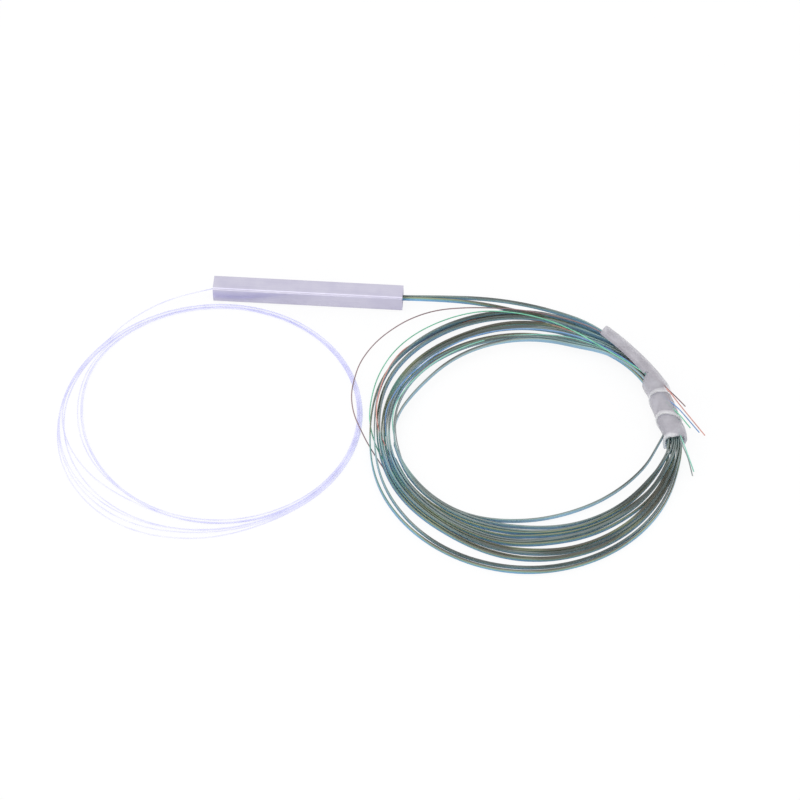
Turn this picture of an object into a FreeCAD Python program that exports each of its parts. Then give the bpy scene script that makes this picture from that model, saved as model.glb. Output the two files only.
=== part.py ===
"""Bare-fibre planar lightwave circuit splitter, one input to eight outputs, in millimetres.

Row frame: origin at the bottom centre of the square metal tube, +X along the tube towards
the outputs, +Z up. Everything lies on the plane z = 0. The optics stand on their side in
the tube, so the fibres of the output array are stacked along Z and both ribbons leave the
tube on edge, as they lie in the coil.
"""
import FreeCAD, Part
import math
import os
import Sketcher
from FreeCAD import Vector

SIZES = (
    # square metal tube
    ("TubeLength", 40.0),
    ("TubeSide", 4.0),
    ("TubeWall", 0.4),
    ("TubeCorner", 0.5),
    ("BoreCorner", 0.15),
    ("SealLength", 3.0),
    ("SealRecess", 0.2),
    # waveguide chip and its cover glasses
    ("ChipLength", 12.0),
    ("ChipThickness", 1.0),
    ("OpticsWidth", 2.2),
    ("CoverLength", 2.5),
    ("CoverThickness", 1.0),
    ("PolishAngle", 8.0),
    # fibre arrays
    ("BlockLength", 7.5),
    ("BlockThickness", 1.0),
    ("GrooveLength", 4.0),
    ("GrooveDepth", 0.1),
    ("LidThickness", 1.0),
    ("FanLength", 1.2),
    ("BondCover", 0.25),
    ("CushionLength", 2.0),
    # fibres
    ("OutputCount", 8),
    ("GlassDiameter", 0.125),
    ("FibrePitch", 0.127),
    ("CoatDiameter", 0.25),
    ("RibbonWidth", 1.1),
    ("RibbonThickness", 0.3),
    ("RibbonCorner", 0.12),
    # spiral wrap round the output coil
    ("CoilRadius", 31.0),
    ("WrapDiameter", 4.8),
    ("WrapWall", 0.5),
    ("WrapPitch", 6.2),
    ("WrapGap", 0.35),
    ("WrapClearance", 0.24),
    ("WrapTailLength", 11.5),
    ("WrapTailDrift", 1.2),
)

doc = FreeCAD.newDocument("fibre_splitter")
sheet = doc.addObject("Spreadsheet::Sheet", "Sizes")
for line_number, (alias, value) in enumerate(SIZES, start=1):
    sheet.set("A%d" % line_number, alias)
    sheet.set("B%d" % line_number, str(value))
    sheet.setAlias("B%d" % line_number, alias)
doc.recompute()

# Rules that several pieces share, in the language of the sheet.
AXIS_HEIGHT = "Sizes.TubeSide / 2"
BORE = "(Sizes.TubeSide - 2 * Sizes.TubeWall)"
LEAN = "tan(Sizes.PolishAngle * 1 deg)"
# A fibre in a 60 degree groove lies its own diameter above the groove's root.
SEAT = "(Sizes.GlassDiameter - Sizes.GrooveDepth)"
CHIP_FACE = "(Sizes.ChipLength / 2)"
GROOVE_END = "(%s + Sizes.GrooveLength)" % CHIP_FACE
BLOCK_END = "(%s + Sizes.BlockLength)" % CHIP_FACE
RIBBON_START = "(%s + Sizes.FanLength)" % GROOVE_END
TUBE_END = "(Sizes.TubeLength / 2)"
SEAL_FACE = "(%s - Sizes.SealRecess)" % TUBE_END
INPUT_SHELF = "(Sizes.CoatDiameter / 2)"
OUTPUT_SHELF = "Sizes.RibbonThickness"

subparts = []


def amount(rule):
    """The value of a rule, for geometry that this script works out itself."""
    return float(getattr(sheet.evalExpression(rule), "Value", sheet.evalExpression(rule)))


def bind(thing, **rules):
    """Tie properties of an object to rules of the sheet."""
    for name, rule in rules.items():
        thing.setExpression(name.replace("__", "."), rule)


def place(thing, along="0", across="0", up=AXIS_HEIGHT):
    bind(thing, Placement__Base__x=along, Placement__Base__y=across, Placement__Base__z=up)


def keep(thing, label):
    """Name a finished sub-part and put it on the list that is written out."""
    thing.Label = label
    subparts.append(thing)
    return thing


def keep_shape(shape, label):
    """A sub-part whose shape is worked out here rather than by a feature."""
    thing = doc.addObject("Part::Feature", label)
    thing.Shape = shape
    thing.Placement = FreeCAD.Placement()
    return keep(thing, label)


def cut(label, base, tool):
    result = doc.addObject("Part::Cut", label)
    result.Base = base
    result.Tool = tool
    return result


def plane(body, role):
    return [feature for feature in body.Origin.OriginFeatures if feature.Role == role][0]


def outline_sketch(body, name, role, corners):
    """A closed outline of straight lines whose corners are (x rule, y rule) pairs."""
    sketch = body.newObject("Sketcher::SketchObject", name)
    sketch.AttachmentSupport = [(plane(body, role), "")]
    sketch.MapMode = "FlatFace"
    spots = [Vector(amount(across), amount(up), 0) for across, up in corners]
    for number, spot in enumerate(spots):
        following = spots[(number + 1) % len(spots)]
        sketch.addGeometry(Part.LineSegment(spot, following))
    for number in range(len(spots)):
        sketch.addConstraint(
            Sketcher.Constraint("Coincident", number, 2, (number + 1) % len(spots), 1))
    for number, (across, up) in enumerate(corners):
        for kind, rule, size in (("DistanceX", across, spots[number].x),
                                 ("DistanceY", up, spots[number].y)):
            index = sketch.addConstraint(Sketcher.Constraint(kind, -1, 1, number, 1, size))
            label = "%s_%d" % (kind, number)
            sketch.renameConstraint(index, label)
            sketch.setExpression("Constraints.%s" % label, rule)
    return sketch


def rectangle(width, height):
    """Corner rules of a rectangle about the origin."""
    half, tall = "%s / 2" % width, "%s / 2" % height
    return (("-" + half, "-" + tall), (half, "-" + tall), (half, tall), ("-" + half, tall))


def long_edges(shape):
    """Names of the straight edges that run along X from end to end."""
    names = []
    for number, edge in enumerate(shape.Edges, start=1):
        ends = [vertex.Point.x for vertex in edge.Vertexes]
        if len(ends) == 2 and abs(ends[0] - ends[1]) > 0.99 * shape.BoundBox.XLength:
            names.append("Edge%d" % number)
    return names


def rounded_bar(name, width, height, length, corner):
    """A bar along X, centred on the origin, with its four long edges rounded."""
    body = doc.addObject("PartDesign::Body", name)
    sketch = outline_sketch(body, name + "_section", "YZ_Plane", rectangle(width, height))
    pad = body.newObject("PartDesign::Pad", name + "_pad")
    pad.Profile = sketch
    pad.SideType = "Symmetric"
    bind(pad, Length=length)
    doc.recompute()
    fillet = body.newObject("PartDesign::Fillet", name + "_corners")
    fillet.Base = (pad, long_edges(pad.Shape))
    bind(fillet, Radius=corner)
    body.Tip = fillet
    doc.recompute()
    return body


def box(name, along, across, up, length, width, height):
    """A box from its lowest corner and its three sizes, all of them rules."""
    block = doc.addObject("Part::Box", name)
    bind(block, Length=length, Width=width, Height=height)
    place(block, along, across, up)
    return block


def slanted_block(label, start, end, low, high):
    """A glass block whose X faces may lean by the polish angle.

    start and end are (rule, leans) pairs, low and high are its limits along Y."""
    block = doc.addObject("Part::Wedge", label)
    for name, level in (("Xmin", low), ("X2min", high)):
        block.setExpression(name, face_rule(start, level))
    for name, level in (("Xmax", low), ("X2max", high)):
        block.setExpression(name, face_rule(end, level))
    half = "Sizes.OpticsWidth / 2"
    bind(block, Ymin=low, Ymax=high, Zmin="-" + half, Z2min="-" + half, Zmax=half, Z2max=half)
    place(block)
    return keep(block, label)


def face_rule(face, level):
    """Where a face meets the level y = level: leaning faces pass through y = 0 at their rule."""
    rule, leans = face
    if leans:
        return "%s + (%s) * %s" % (rule, level, LEAN)
    return rule


# ---------------------------------------------------------------- tube and seals

def make_tube():
    outside = rounded_bar("tube_outside", "Sizes.TubeSide", "Sizes.TubeSide",
                          "Sizes.TubeLength", "Sizes.TubeCorner")
    bore = rounded_bar("tube_bore", BORE, BORE, "Sizes.TubeLength + 2", "Sizes.BoreCorner")
    tube = cut("metal_tube_cut", outside, bore)
    place(tube)
    keep(tube, "metal_tube")


def make_input_seal():
    """Sealant plug with the hole that the input fibre fills."""
    plug = rounded_bar("input_plug", BORE, BORE, "Sizes.SealLength", "Sizes.BoreCorner")
    hole = doc.addObject("Part::Cylinder", "input_plug_hole")
    bind(hole, Radius="Sizes.CoatDiameter / 2", Height="Sizes.SealLength + 2")
    hole.Placement.Rotation = FreeCAD.Rotation(Vector(0, 1, 0), 90)
    place(hole, "-(Sizes.SealLength + 2) / 2", "0", "0")
    seal = cut("input_end_seal_cut", plug, hole)
    place(seal, "-%s + Sizes.SealLength / 2" % SEAL_FACE)
    keep(seal, "input_end_seal")


def make_output_seal():
    """Sealant plug with the slot that both ribbons fill."""
    plug = rounded_bar("output_plug", BORE, BORE, "Sizes.SealLength", "Sizes.BoreCorner")
    slot_height = "(Sizes.RibbonWidth + Sizes.FibrePitch)"
    slot = box("output_plug_slot", "-(Sizes.SealLength + 2) / 2", "-Sizes.RibbonThickness",
               "-%s / 2" % slot_height, "Sizes.SealLength + 2",
               "2 * Sizes.RibbonThickness", slot_height)
    seal = cut("output_end_seal_cut", plug, slot)
    place(seal, "%s - Sizes.SealLength / 2" % SEAL_FACE)
    keep(seal, "output_end_seal")


# ---------------------------------------------------------------- chip and fibre arrays

def make_chip():
    """The waveguide chip, polished at both ends, with a cover glass at each end."""
    ends = ("-" + CHIP_FACE, True), (CHIP_FACE, True)
    slanted_block("splitter_chip", ends[0], ends[1], "-Sizes.ChipThickness", "0")
    inner = "(%s - Sizes.CoverLength)" % CHIP_FACE
    slanted_block("input_cover_glass", ends[0], ("-" + inner, False),
                  "0", "Sizes.CoverThickness")
    slanted_block("output_cover_glass", (inner, False), ends[1],
                  "0", "Sizes.CoverThickness")


def grooved_block(label, sign, shelf, count):
    """A fibre-array block: V-grooves at its polished end, a lower shelf at its back.

    sign is + for the output side and - for the input side."""
    body = doc.addObject("PartDesign::Body", label + "_body")
    front, step, back = (sign + rule for rule in (CHIP_FACE, GROOVE_END, BLOCK_END))
    bottom, top, floor = "-Sizes.BlockThickness", "-" + SEAT, "-" + shelf
    corners = ((face_rule((front, True), bottom), bottom), (back, bottom), (back, floor),
               (step, floor), (step, top), (face_rule((front, True), top), top))
    profile = outline_sketch(body, label + "_profile", "XY_Plane", corners)
    pad = body.newObject("PartDesign::Pad", label + "_pad")
    pad.Profile = profile
    pad.SideType = "Symmetric"
    bind(pad, Length="Sizes.OpticsWidth")
    # The triangle stands above the face by the seat, so that the cut leaves no skin.
    root = "-Sizes.GlassDiameter"
    lowest = "(-(%d - 1) / 2 * Sizes.FibrePitch)" % count
    half_mouth = "(Sizes.GlassDiameter * tan(30 deg))"
    triangle = outline_sketch(body, label + "_groove", "YZ_Plane", (
        (root, lowest),
        ("0", "%s + %s" % (lowest, half_mouth)),
        ("0", "%s - %s" % (lowest, half_mouth))))
    groove = body.newObject("PartDesign::Pocket", label + "_pocket")
    groove.Profile = triangle
    groove.Type = "ThroughAll"
    groove.SideType = "Symmetric"
    body.Tip = groove
    doc.recompute()
    if count > 1:
        row = body.newObject("PartDesign::LinearPattern", label + "_row")
        row.Originals = [groove]
        row.Direction = (triangle, ["V_Axis"])
        bind(row, Length="Sizes.FibrePitch * (Sizes.OutputCount - 1)",
             Occurrences="Sizes.OutputCount")
        body.Tip = row
        doc.recompute()
    place(body)
    keep(body, label)


def make_arrays():
    grooved_block("input_groove_block", "-", INPUT_SHELF, 1)
    grooved_block("output_groove_block", "", OUTPUT_SHELF, int(amount("Sizes.OutputCount")))
    under = "Sizes.GlassDiameter / 2"
    slanted_block("input_groove_lid", ("-" + GROOVE_END, False), ("-" + CHIP_FACE, True),
                  under, "Sizes.LidThickness")
    slanted_block("output_groove_lid", (CHIP_FACE, True), (GROOVE_END, False),
                  under, "Sizes.LidThickness")


def make_bonds():
    """Adhesive that holds the coated fibres on the shelves behind the grooves."""
    length = "(%s - %s)" % (BLOCK_END, RIBBON_START)
    for label, start, shelf, tall in (
            ("input_fibre_bond", "-" + BLOCK_END, INPUT_SHELF, "Sizes.CoatDiameter"),
            ("output_ribbon_bond", RIBBON_START, OUTPUT_SHELF,
             "(Sizes.RibbonWidth + Sizes.FibrePitch)")):
        bead = box(label + "_bead", start, "-" + shelf,
                   "%s - %s / 2 - Sizes.BondCover" % (AXIS_HEIGHT, tall), length,
                   "2 * %s + Sizes.BondCover" % shelf, "%s + 2 * Sizes.BondCover" % tall)
        way = box(label + "_way", start, "-" + shelf, "%s - %s / 2" % (AXIS_HEIGHT, tall),
                  length, "2 * " + shelf, tall)
        keep(cut(label + "_cut", bead, way), label)


def make_cushions():
    """Soft silicone rings that carry the two fibre arrays in the tube."""
    middle = "(%s + Sizes.GrooveLength / 2)" % CHIP_FACE
    for label, sign in (("input_cushion", "-"), ("output_cushion", "")):
        ring = rounded_bar(label + "_ring", BORE, BORE, "Sizes.CushionLength",
                           "Sizes.BoreCorner")
        window = box(label + "_window", "-Sizes.CushionLength", "-Sizes.BlockThickness",
                     "-Sizes.OpticsWidth / 2", "2 * Sizes.CushionLength",
                     "Sizes.BlockThickness + Sizes.LidThickness", "Sizes.OpticsWidth")
        cushion = cut(label + "_cut", ring, window)
        place(cushion, sign + middle)
        keep(cushion, label)


# ---------------------------------------------------------------- fibres in the tube

def fibre_rod(label, start, length, diameter):
    rod = doc.addObject("Part::Cylinder", label)
    bind(rod, Radius=diameter + " / 2", Height=length)
    rod.Placement.Rotation = FreeCAD.Rotation(Vector(0, 1, 0), 90)
    place(rod, start)
    return keep(rod, label)


def make_input_fibre_in_tube():
    fibre_rod("input_bare_glass", "-" + RIBBON_START, "%s - %s" % (RIBBON_START, CHIP_FACE),
              "Sizes.GlassDiameter")
    fibre_rod("input_fibre_root", "-" + SEAL_FACE, "%s - %s" % (SEAL_FACE, RIBBON_START),
              "Sizes.CoatDiameter")


def ribbon_offset(layer):
    """Middle of a ribbon across (Y) and along the row of grooves (Z); layer is -1 or 1."""
    across = layer * amount("Sizes.RibbonThickness") / 2
    return across, amount(AXIS_HEIGHT) + layer * amount("Sizes.FibrePitch") / 2


def make_ribbon_roots():
    """The ribbons from the array to the seal's face, glued in over their whole length."""
    length = "(%s - %s)" % (SEAL_FACE, RIBBON_START)
    for label, sign in (("front_ribbon_root", "-"), ("back_ribbon_root", "")):
        bar = rounded_bar(label + "_bar", "Sizes.RibbonThickness", "Sizes.RibbonWidth",
                          length, "Sizes.RibbonCorner")
        place(bar, "%s + %s / 2" % (RIBBON_START, length), sign + "Sizes.RibbonThickness / 2",
              "%s + %sSizes.FibrePitch / 2" % (AXIS_HEIGHT, sign))
        keep(bar, label)


def make_output_glass():
    """Stripped fibre ends: alternate grooves take a fibre of the front and back ribbon."""
    count = int(amount("Sizes.OutputCount"))
    pitch = amount("Sizes.FibrePitch")
    ends = [amount(rule) for rule in (CHIP_FACE, GROOVE_END, RIBBON_START)]
    rods = []
    for number in range(count):
        height = amount(AXIS_HEIGHT) + (number - (count - 1) / 2) * pitch
        across = ribbon_offset(1 if number % 2 else -1)[0]
        route = [Vector(ends[0], 0, height), Vector(ends[1], 0, height),
                 Vector(ends[2], across, height)]
        rods.append(round_tube(Part.makePolygon(route), route, amount("Sizes.GlassDiameter")))
    keep_shape(Part.makeCompound(rods), "output_bare_glass")


# ---------------------------------------------------------------- free cords

def rounded_path(points):
    """Straight runs joined by tangent arcs, each as large as its two runs allow."""
    edges = []
    radii = []
    start = points[0]
    for before, corner, after in zip(points, points[1:], points[2:]):
        inward = corner - before
        outward = after - corner
        turn = inward.getAngle(outward)
        reach = 0.45 * min(inward.Length, outward.Length)
        inward.normalize()
        outward.normalize()
        radius = reach / math.tan(turn / 2)
        arc_start = corner - inward * reach
        arc_end = corner + outward * reach
        towards = outward - inward
        towards.normalize()
        bulge = radius / math.cos(turn / 2) - radius
        edges.append(Part.LineSegment(start, arc_start).toShape())
        edges.append(Part.Arc(arc_start, corner + towards * bulge, arc_end).toShape())
        radii.append(radius)
        start = arc_end
    edges.append(Part.LineSegment(start, points[-1]).toShape())
    return Part.Wire(edges), radii


def round_tube(path, route, diameter):
    profile = Part.Wire(Part.Circle(route[0], route[1] - route[0], diameter / 2).toShape())
    return path.makePipeShell([profile], True, False)


def fibre_tube(path, route):
    """A coated fibre; so fine a tube is swept with eight flats to stay light."""
    ahead = route[1] - route[0]
    side = Vector(-ahead.y, ahead.x, 0)
    side.normalize()
    up = ahead.cross(side)
    up.normalize()
    radius = amount("Sizes.CoatDiameter / 2")
    rim = []
    for number in range(8):
        angle = math.pi * number / 4
        rim.append(route[0] + side * (radius * math.cos(angle)) + up * (radius * math.sin(angle)))
    return path.makePipeShell([Part.makePolygon(rim + rim[:1])], True, False)


def ribbon_profile(route):
    """A ribbon's section on edge at the start of its route: thin across, tall along Z."""
    ahead = route[1] - route[0]
    side = Vector(-ahead.y, ahead.x, 0)
    side.normalize()
    up = ahead.cross(side)
    up.normalize()
    side = side * (amount("Sizes.RibbonThickness") / 2)
    up = up * (amount("Sizes.RibbonWidth") / 2)
    middle = route[0]
    return Part.makePolygon([middle + side + up, middle - side + up, middle - side - up,
                             middle + side - up, middle + side + up])


def ribbon_tube(path, route):
    sweep = Part.BRepOffsetAPI.MakePipeShell(path)
    sweep.setBiNormalMode(Vector(0, 0, 1))
    sweep.add(ribbon_profile(route))
    sweep.build()
    sweep.makeSolid()
    return sweep.shape()


# The routes and coils below are drawn for these two sizes.
DRAWN_SEAL = 19.8
DRAWN_RADIUS = 31.0
INPUT_SIDE = -1
OUTPUT_SIDE = 1


def lay_spread():
    """How much wider than drawn the fibre lies, for coils of another radius."""
    return amount("Sizes.CoilRadius") / DRAWN_RADIUS


def laid(side, point):
    """Where a drawn point of one side's fibre lies: it moves with that side's seal."""
    seal = side * amount(SEAL_FACE)
    spread = lay_spread()
    return Vector(seal + (point[0] - side * DRAWN_SEAL) * spread, point[1] * spread, point[2])


def free_cord(label, side, points, start=(), flat=False):
    """A free length of fibre or ribbon along its route; prints its length and bends."""
    route = [Vector(*spot) for spot in start] + [laid(side, point) for point in points]
    path, radii = rounded_path(route)
    if flat:
        solid = ribbon_tube(path, route)
        section = amount("Sizes.RibbonWidth * Sizes.RibbonThickness")
    else:
        solid = fibre_tube(path, route)
        section = 2 * math.sqrt(2) * amount("Sizes.CoatDiameter / 2") ** 2
    ratio = solid.Volume / (section * path.Length)
    print("%-20s length %6.1f  tightest bend %5.1f  volume ratio %.4f"
          % (label, path.Length, min(radii), ratio))
    keep_shape(solid, label)


def output_exit(layer):
    """Where a ribbon leaves the output seal."""
    across, height = ribbon_offset(layer)
    return amount(SEAL_FACE), across, height


INPUT_ROUTE = ((-26.0, -1.9, 1.65), (-31.4, -4.45, 1.1), (-36.0, -8.1, 0.7),
               (-38.6, -10.9, 0.45))
FRONT_RIBBON_ROUTE = ((27.0, 0.1, 1.9), (34.0, -0.1, 1.85), (40.0, -0.9, 1.75),
                      (45.0, -2.1, 1.7))
BACK_RIBBON_ROUTE = ((29.0, 0.75, 2.05), (38.0, 0.85, 2.1), (46.2, -0.3, 2.2),
                     (54.0, -2.75, 2.5), (59.9, -5.4, 2.65))
GREEN_LOOP_ROUTE = ((37.5, -1.3, 1.2), (30.5, -4.0, 1.0), (24.0, -8.2, 0.9),
                    (19.3, -13.6, 0.8), (16.6, -20.0, 0.8), (15.5, -26.5, 0.8),
                    (15.3, -33.0, 0.8))
BROWN_LOOP_ROUTE = ((43.2, -1.75, 2.6), (37.0, -1.75, 2.0), (30.5, -2.2, 1.5),
                    (24.5, -4.0, 1.2), (19.2, -7.3, 1.2), (15.0, -12.9, 1.2),
                    (12.4, -19.4, 1.2), (11.7, -26.0, 1.2), (12.8, -32.6, 1.2),
                    (15.4, -38.9, 1.1))
FIBRE_END_ROUTES = (
    ("fibre_end_brown", ((75.9, -23.8, 4.75), (77.8, -25.1, 3.8), (79.5, -25.8, 2.2))),
    ("fibre_end_orange", ((76.05, -24.25, 4.85), (77.2, -25.6, 4.3), (79.4, -27.9, 3.1),
                          (83.6, -32.2, 1.0))),
    ("fibre_end_blue", ((77.6, -28.0, 4.7), (79.8, -29.9, 3.4), (82.4, -32.0, 1.6))),
    ("fibre_end_green", ((78.3, -30.2, 4.6), (79.35, -31.25, 3.9), (80.5, -31.9, 2.8))),
    ("fibre_end_aqua", ((78.55, -35.7, 4.8), (80.05, -39.0, 2.9), (81.35, -41.8, 1.1))),
    ("fibre_end_slate", ((78.4, -36.4, 4.7), (80.0, -38.25, 2.1), (80.6, -40.3, 1.1),
                         (81.15, -42.4, 0.5))),
)


def make_leads():
    input_exit = (-amount(SEAL_FACE), 0.0, amount(AXIS_HEIGHT))
    free_cord("input_fibre_lead", INPUT_SIDE, INPUT_ROUTE, [input_exit])
    free_cord("front_ribbon_lead", OUTPUT_SIDE, FRONT_RIBBON_ROUTE, [output_exit(-1)], True)
    free_cord("back_ribbon_lead", OUTPUT_SIDE, BACK_RIBBON_ROUTE, [output_exit(1)], True)


def make_single_fibres():
    """Fibres split from the ribbons: two wide loops and the cut ends at the wrap."""
    free_cord("green_fibre_loop", OUTPUT_SIDE, GREEN_LOOP_ROUTE)
    free_cord("brown_fibre_loop", OUTPUT_SIDE, BROWN_LOOP_ROUTE)
    for label, points in FIBRE_END_ROUTES:
        free_cord(label, OUTPUT_SIDE, points)


# ---------------------------------------------------------------- coils

INPUT_COIL_CENTRE = (-17.0, -34.5, 0)
# angle in degrees, inner radius, outer radius, bottom, top
INPUT_COIL_STATIONS = (
    (0, 29.9, 31.3, 0.0, 0.8), (30, 30.4, 32.0, 0.0, 0.8), (60, 30.6, 32.2, 0.0, 0.8),
    (90, 30.4, 32.0, 0.0, 0.8), (120, 29.9, 31.6, 0.0, 0.8), (150, 28.4, 31.4, 0.0, 0.8),
    (180, 26.2, 31.6, 0.0, 0.7), (210, 24.5, 32.1, 0.0, 0.7), (240, 24.3, 31.8, 0.0, 0.7),
    (270, 25.2, 30.6, 0.0, 0.7), (300, 26.5, 29.6, 0.0, 0.8), (330, 28.4, 30.4, 0.0, 0.8),
)
OUTPUT_COIL_CENTRE = (47.0, -35.5, 0)
OUTPUT_COIL_STATIONS = (
    (-14, 26.2, 31.4, 0.1, 2.9), (75, 27.0, 32.2, 0.0, 2.7), (95, 26.7, 33.2, 0.0, 2.4),
    (120, 25.6, 33.6, 0.0, 2.4), (150, 25.0, 32.8, 0.0, 2.4),
    (180, 26.4, 31.3, 0.0, 2.8), (210, 24.9, 31.0, 0.0, 2.2), (240, 23.5, 32.2, 0.0, 1.7),
    (270, 21.4, 32.8, 0.0, 1.5), (300, 21.1, 32.5, 0.0, 1.5), (328, 23.1, 31.9, 0.0, 2.0),
)
COIL_SECTIONS = 40
COIL_BEVEL = 0.3
# A bevelled square's width across its corners, for a side of 1.
BEVELLED_REACH = math.hypot(1, 1 - 2 * COIL_BEVEL)
# The wrapped stretch of the coil is an arc about its own centre.
WRAP_CENTRE = (47.0, -36.66, 0)
WRAP_RADIUS = 30.55
WRAP_START = 1.0
WRAP_TURNS = 3
# Sections of the wrapped coil: share of the windings, share of the tail, spread inward.
WRAPPED_SECTIONS = ((-0.05, 0, 0), (0.25, 0, 0), (0.5, 0, 0), (0.75, 0, 0), (1.05, 0, 0),
                    (1, 0.3, 0.6), (1, 0.6, 1.3), (1, 0.9, 2.0))


def around(degrees):
    """Unit vector away from a coil's centre at an angle."""
    angle = math.radians(degrees)
    return Vector(math.cos(angle), math.sin(angle), 0)


def coil_corners(middle, outward, width, height):
    """The four corners of a coil's section in the plane of outward and Z."""
    side = outward * (width / 2)
    lift = Vector(0, 0, height / 2)
    return middle - side - lift, middle + side - lift, middle + side + lift, middle - side + lift


def station_corners(side, centre, station):
    degrees, inner, outer, bottom, top = station
    outward = around(degrees)
    middle = laid(side, centre) + outward * ((inner + outer) / 2 * lay_spread())
    middle = middle + Vector(0, 0, (bottom + top) / 2)
    return degrees, coil_corners(middle, outward, outer - inner, top - bottom)


def wrap_axis(along):
    """The middle of the wrap at a distance along it, and the way outward from there.

    It lies on the ground on the coil's arc; its open tail drifts outward to its end."""
    wound = WRAP_TURNS * amount("Sizes.WrapPitch")
    past = max(0.0, (along - wound) / amount("Sizes.WrapTailLength"))
    radius = WRAP_RADIUS * lay_spread()
    outward = around(WRAP_START + math.degrees(along / radius))
    drift = amount("Sizes.WrapTailDrift") * past ** 2
    axis = laid(OUTPUT_SIDE, WRAP_CENTRE) + outward * (radius + drift)
    return axis + Vector(0, 0, amount("Sizes.WrapDiameter / 2")), outward


def wrapped_stations():
    """Sections of the output coil inside the spiral wrap and over its open tail."""
    bore = amount("Sizes.WrapDiameter - 2 * Sizes.WrapWall - 2 * Sizes.WrapClearance")
    size = bore / BEVELLED_REACH
    wound = WRAP_TURNS * amount("Sizes.WrapPitch")
    tail = amount("Sizes.WrapTailLength")
    stations = []
    for share, tail_share, spread in WRAPPED_SECTIONS:
        axis, outward = wrap_axis(share * wound + tail_share * tail)
        middle = axis - outward * (spread / 2)
        from_centre = axis - laid(OUTPUT_SIDE, OUTPUT_COIL_CENTRE)
        degrees = math.degrees(math.atan2(from_centre.y, from_centre.x))
        stations.append((degrees, coil_corners(middle, outward, size + spread, size)))
    return stations


def bevelled_section(corners):
    """A closed section with its four corners cut off, from its corner points."""
    bevel = COIL_BEVEL * min((corners[1] - corners[0]).Length, (corners[2] - corners[1]).Length)
    spots = []
    for number, corner in enumerate(corners):
        for neighbour in (corners[number - 1], corners[(number + 1) % 4]):
            ahead = neighbour - corner
            ahead.normalize()
            spots.append(corner + ahead * bevel)
    return Part.makePolygon(spots + spots[:1])


def coil_ring(stations):
    """A closed ring: smooth rails through the stations' corners carry its sections."""
    angles = [degrees for degrees, _ in stations]
    rails = []
    for number in range(4):
        rail = Part.BSplineCurve()
        rail.interpolate(Points=[corners[number] for _, corners in stations],
                         PeriodicFlag=True, Parameters=angles + [angles[0] + 360])
        rails.append(rail)
    sections = []
    for number in range(COIL_SECTIONS):
        angle = angles[0] + 360 * number / COIL_SECTIONS
        corners = [rail.value(angle) for rail in rails]
        for corner in corners:
            corner.z = max(0.0, corner.z)
        sections.append(bevelled_section(corners))
    return Part.makeLoft(sections, True, True, True)


def make_coils():
    """Outer shapes of both coils; the turns themselves lie inside them."""
    stations = [station_corners(INPUT_SIDE, INPUT_COIL_CENTRE, row)
                for row in INPUT_COIL_STATIONS]
    keep_shape(coil_ring(stations), "input_fibre_coil")
    stations = [station_corners(OUTPUT_SIDE, OUTPUT_COIL_CENTRE, row)
                for row in OUTPUT_COIL_STATIONS]
    stations[1:1] = wrapped_stations()
    keep_shape(coil_ring(stations), "ribbon_coil")


# ---------------------------------------------------------------- spiral wrap

WRAP_BEND_RADIUS = 4.0
STATIONS_PER_TURN = 20
BEND_STATIONS = 8
TAIL_STATIONS = 5
STRIP_FACETS = 4


def strip_line():
    """The strip's middle line on the wrap unrolled flat, as (along, round, heading, shear).

    It winds at a constant pitch, then bends and runs on along the coil as an open tail.
    shear slants the sections, so that in the windings they follow the wrap's length."""
    pitch = amount("Sizes.WrapPitch")
    girth = 2 * math.pi * amount("Sizes.WrapDiameter / 2 - Sizes.WrapWall / 2")
    heading = -math.atan2(girth, pitch)
    shear = pitch / girth
    first_turn, last_turn = -0.35, WRAP_TURNS - 0.84
    count = round((last_turn - first_turn) * STATIONS_PER_TURN)
    line = []
    for number in range(count + 1):
        turn = first_turn + (last_turn - first_turn) * number / count
        line.append((pitch * (turn + 0.5), girth * (0.25 - turn), heading, shear))
    along, round_it = line[-1][:2]
    for number in range(1, BEND_STATIONS + 1):
        left = 1 - number / BEND_STATIONS
        angle = heading * left
        line.append((along + WRAP_BEND_RADIUS * (math.sin(angle) - math.sin(heading)),
                     round_it - WRAP_BEND_RADIUS * (math.cos(angle) - math.cos(heading)),
                     angle, shear * left))
    along, round_it = line[-1][:2]
    tail = amount("Sizes.WrapTailLength")
    for number in range(1, TAIL_STATIONS + 1):
        line.append((along + tail * number / TAIL_STATIONS, round_it, 0.0, 0.0))
    return line


def wrap_point(along, round_it, radius):
    """Bend the unrolled wrap round the coil's arc."""
    middle = amount("Sizes.WrapDiameter / 2 - Sizes.WrapWall / 2")
    axis, outward = wrap_axis(along)
    angle = round_it / middle
    return axis + outward * (radius * math.cos(angle)) + Vector(0, 0, radius * math.sin(angle))


def strip_section(station):
    """The strip's section: outer and inner sides joined by two short edges."""
    along, round_it, heading, shear = station
    outer = amount("Sizes.WrapDiameter / 2")
    inner = outer - amount("Sizes.WrapWall")
    girth = math.pi * (outer + inner)
    pitch = amount("Sizes.WrapPitch")
    half = (pitch * math.cos(math.atan2(pitch, girth)) - amount("Sizes.WrapGap")) / 2
    cross_along = half * (shear * math.cos(heading) - math.sin(heading))
    cross_round = half * (shear * math.sin(heading) + math.cos(heading))
    outside = []
    inside = []
    for number in range(STRIP_FACETS + 1):
        share = 2 * number / STRIP_FACETS - 1
        spot = along + share * cross_along, round_it + share * cross_round
        outside.append(wrap_point(*spot, outer))
        inside.append(wrap_point(*spot, inner))
    rim = outside + inside[::-1]
    return Part.makePolygon(rim + rim[:1])


def end_faces(section):
    """The cut end of the strip, ruled between the outer and inner sides of its section."""
    edges = section.Edges
    outside = edges[:STRIP_FACETS]
    inside = edges[STRIP_FACETS + 1:-1]
    return [Part.makeRuledSurface(*pair) for pair in zip(outside, inside[::-1])]


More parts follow.
